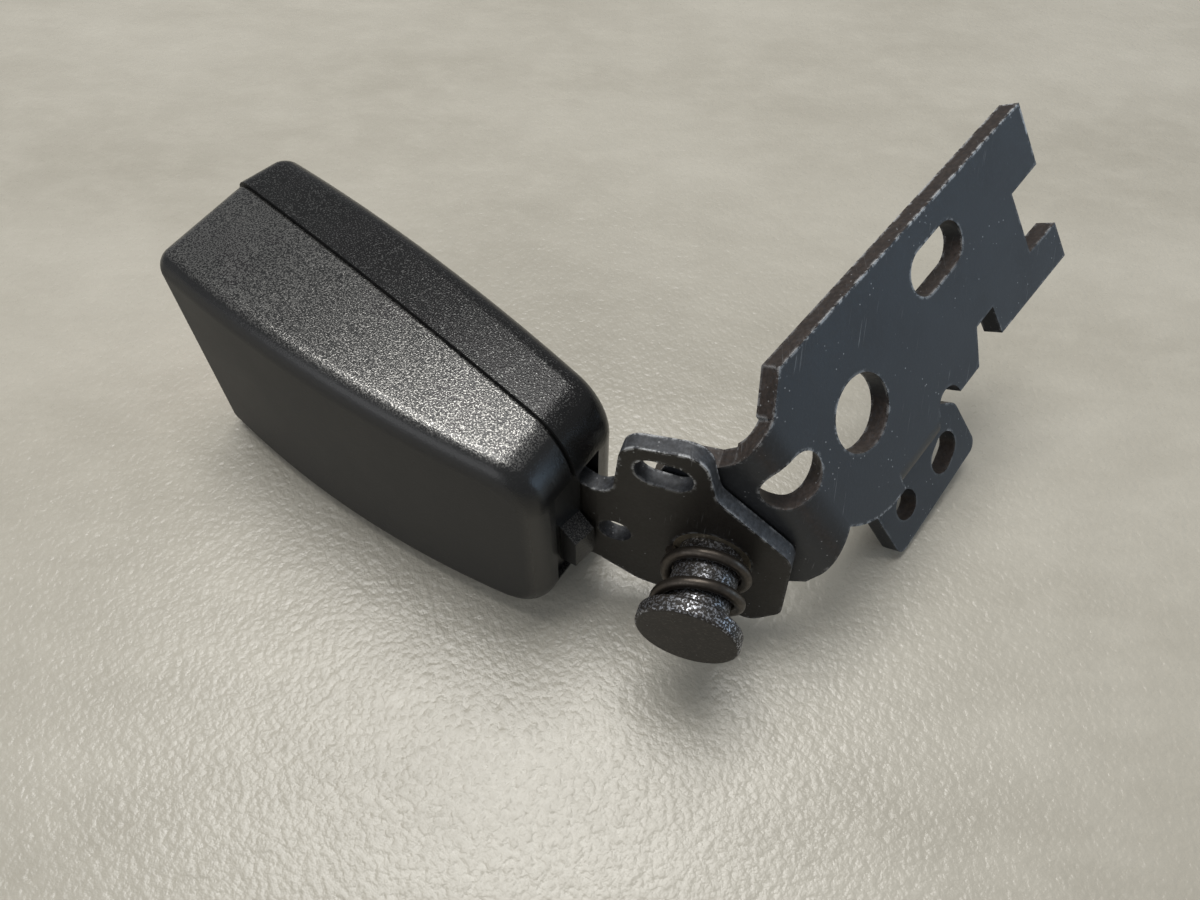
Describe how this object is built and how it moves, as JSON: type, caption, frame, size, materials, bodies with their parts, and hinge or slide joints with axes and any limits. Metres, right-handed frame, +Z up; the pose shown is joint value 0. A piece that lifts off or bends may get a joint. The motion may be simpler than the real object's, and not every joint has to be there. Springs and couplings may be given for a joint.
{
  "type": "seat belt buckle",
  "caption": "Seat belt buckle in a two-part moulded housing, pivoting on a bent steel strap and a slotted seat bracket, with release button, latch and ejector.",
  "frame": {"origin": "centre of the bounding box on the floor, where the lying buckle and one bracket corner rest", "axes": "+Z up; +X from the mouth of the housing to its strap end, roughly; +Y from the broad face to the back face, towards the bracket"},
  "size_m": [0.1287, 0.1216, 0.065],
  "materials": {
    "housing": "grained",
    "steel_plate": "satin blackened",
    "steel_strap": "satin blackened",
    "stud_steel": "worn",
    "spring_steel": "oiled",
    "inner_steel": "plain",
    "button_red": "gloss",
    "inner_plastic": "plain",
    "bush": "plain"
  },
  "bodies": {
    "bracket": {"mounting_bracket": "steel_plate", "pivot_stud": "stud_steel", "pivot_spring": "spring_steel"},
    "buckle": {"anchor_strap": "steel_strap", "pivot_bush": "bush", "buckle_frame": "inner_steel", "frame_rivets": "inner_steel", "front_cover": "housing", "rear_cover": "housing", "tongue_guide": "inner_plastic", "end_clip": "housing", "latch_pin": "inner_steel", "latch_spring": "spring_steel", "button_spring_upper": "spring_steel", "button_spring_lower": "spring_steel", "ejector_spring": "spring_steel"},
    "button": {"release_button": "button_red"},
    "latch_plate": {"latch": "inner_steel"},
    "ejector_slide": {"ejector": "inner_plastic"}
  },
  "joints": [
    {"name": "strap_pivot", "type": "hinge", "parent": "bracket", "child": "buckle", "pos_m": [0.04306, -0.02777, 0.02295], "axis": [0.4019, -0.9157, 0], "range_deg": [-25, 60]},
    {"name": "button_press", "type": "slide", "parent": "buckle", "child": "button", "axis": [1, 0, 0], "range_m": [0, 0.005], "stiffness_N_per_m": 600, "deforming": ["button_spring_upper", "button_spring_lower"]},
    {"name": "latch_lift", "type": "hinge", "parent": "buckle", "child": "latch_plate", "pos_m": [-0.01397, -0.04549, 0.02442], "axis": [0, 0, 1], "range_deg": [0, 13.5], "stiffness_Nm_per_rad": 0.05, "deforming": ["latch_spring"]},
    {"name": "ejector_push", "type": "slide", "parent": "buckle", "child": "ejector_slide", "axis": [1, 0, 0], "range_m": [0, 0.01], "stiffness_N_per_m": 300, "deforming": ["ejector_spring"]}
  ],
  "couplings": [
    {"joint": "latch_lift", "follows": "button_press", "rad_per_m": 47.1}
  ]
}
